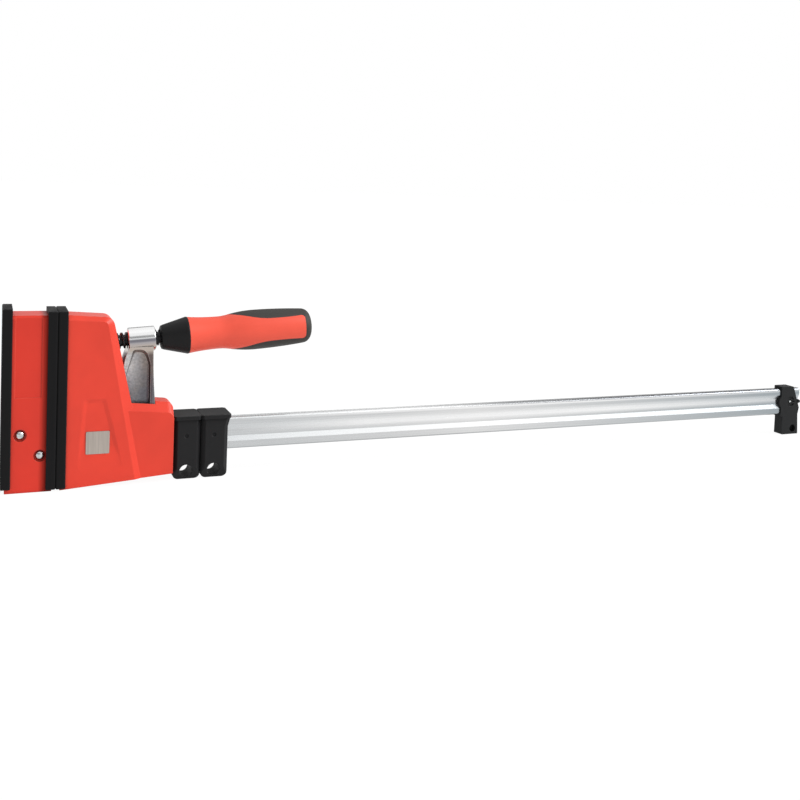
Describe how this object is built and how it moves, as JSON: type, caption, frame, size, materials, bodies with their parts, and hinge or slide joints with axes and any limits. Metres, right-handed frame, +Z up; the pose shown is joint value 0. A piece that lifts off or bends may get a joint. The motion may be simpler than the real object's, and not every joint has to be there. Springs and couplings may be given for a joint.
{
  "type": "parallel clamp",
  "caption": "Parallel bar clamp with wide padded jaws on a grooved steel rail, screw spindle with two-tone grip, rail pads and end clip.",
  "frame": {"origin": "centre of the clamp's whole length and width, on the bench top that its feet stand on", "axes": "+X along the rail from the jaws to the end clip, +Z up, from the rail to the spindle"},
  "size_m": [0.8414, 0.038, 0.1508],
  "materials": {
    "rail_steel": "bright drawn steel, serrated along its edges",
    "cast_metal": "rough cast",
    "red_shell": "satin moulded plastic",
    "black_pad": "smooth satin plastic",
    "bright_steel": "polished dome",
    "black_clip": "fine grained plastic",
    "plain_steel": "plain steel",
    "badge_metal": "satin, bare",
    "forged_steel": "forged and zinc plated",
    "black_steel": "blackened steel, oiled",
    "black_ferrule": "satin plastic",
    "red_grip": "satin hard plastic",
    "soft_black": "soft matt elastomer",
    "black_rail_pad": "fine grained plastic"
  },
  "bodies": {
    "rail_and_fixed_jaw": {"rail": "rail_steel", "fixed_jaw_core": "cast_metal", "fixed_jaw_shell": "red_shell", "fixed_clamping_pad": "black_pad", "spreading_pad": "black_pad", "fixed_jaw_rivets": "bright_steel", "end_clip": "black_clip", "end_clip_pin": "bright_steel"},
    "moving_jaw": {"moving_jaw_housing": "red_shell", "pressure_plate": "plain_steel", "plate_screws": "plain_steel", "moving_clamping_pad": "black_pad", "badge_plate": "badge_metal", "thrust_seat": "plain_steel", "retaining_ring": "plain_steel", "clutch_plate": "plain_steel", "clutch_spring": "plain_steel"},
    "sliding_arm": {"sliding_arm": "forged_steel"},
    "spindle_and_grip": {"spindle": "black_steel", "ferrule": "black_ferrule", "grip_core": "red_grip", "grip_overmould": "soft_black"},
    "front_rail_pad": {"rail_pad_front": "black_rail_pad"},
    "rear_rail_pad": {"rail_pad_rear": "black_rail_pad"}
  },
  "joints": [
    {"name": "jaw_slide", "type": "slide", "parent": "rail_and_fixed_jaw", "child": "moving_jaw", "axis": [1, 0, 0], "range_m": [0, 0.624]},
    {"name": "spindle_turn", "type": "hinge", "parent": "moving_jaw", "child": "spindle_and_grip", "pos_m": [-0.3094, 0, 0.122], "axis": [0.9978, 0, 0.0663], "range_deg": [0, 630]},
    {"name": "arm_feed", "type": "slide", "parent": "moving_jaw", "child": "sliding_arm", "axis": [0.9978, 0, 0.0663], "range_m": [-0.007, 0]},
    {"name": "front_pad_slide", "type": "slide", "parent": "rail_and_fixed_jaw", "child": "front_rail_pad", "axis": [1, 0, 0], "range_m": [0, 0.624]},
    {"name": "rear_pad_slide", "type": "slide", "parent": "rail_and_fixed_jaw", "child": "rear_rail_pad", "axis": [1, 0, 0], "range_m": [0, 0.624]}
  ],
  "couplings": [
    {"joint": "arm_feed", "follows": "spindle_turn", "m_per_rad": -0.00063662},
    {"joint": "front_pad_slide", "follows": "jaw_slide", "ratio": 1},
    {"joint": "rear_pad_slide", "follows": "jaw_slide", "ratio": 1}
  ]
}
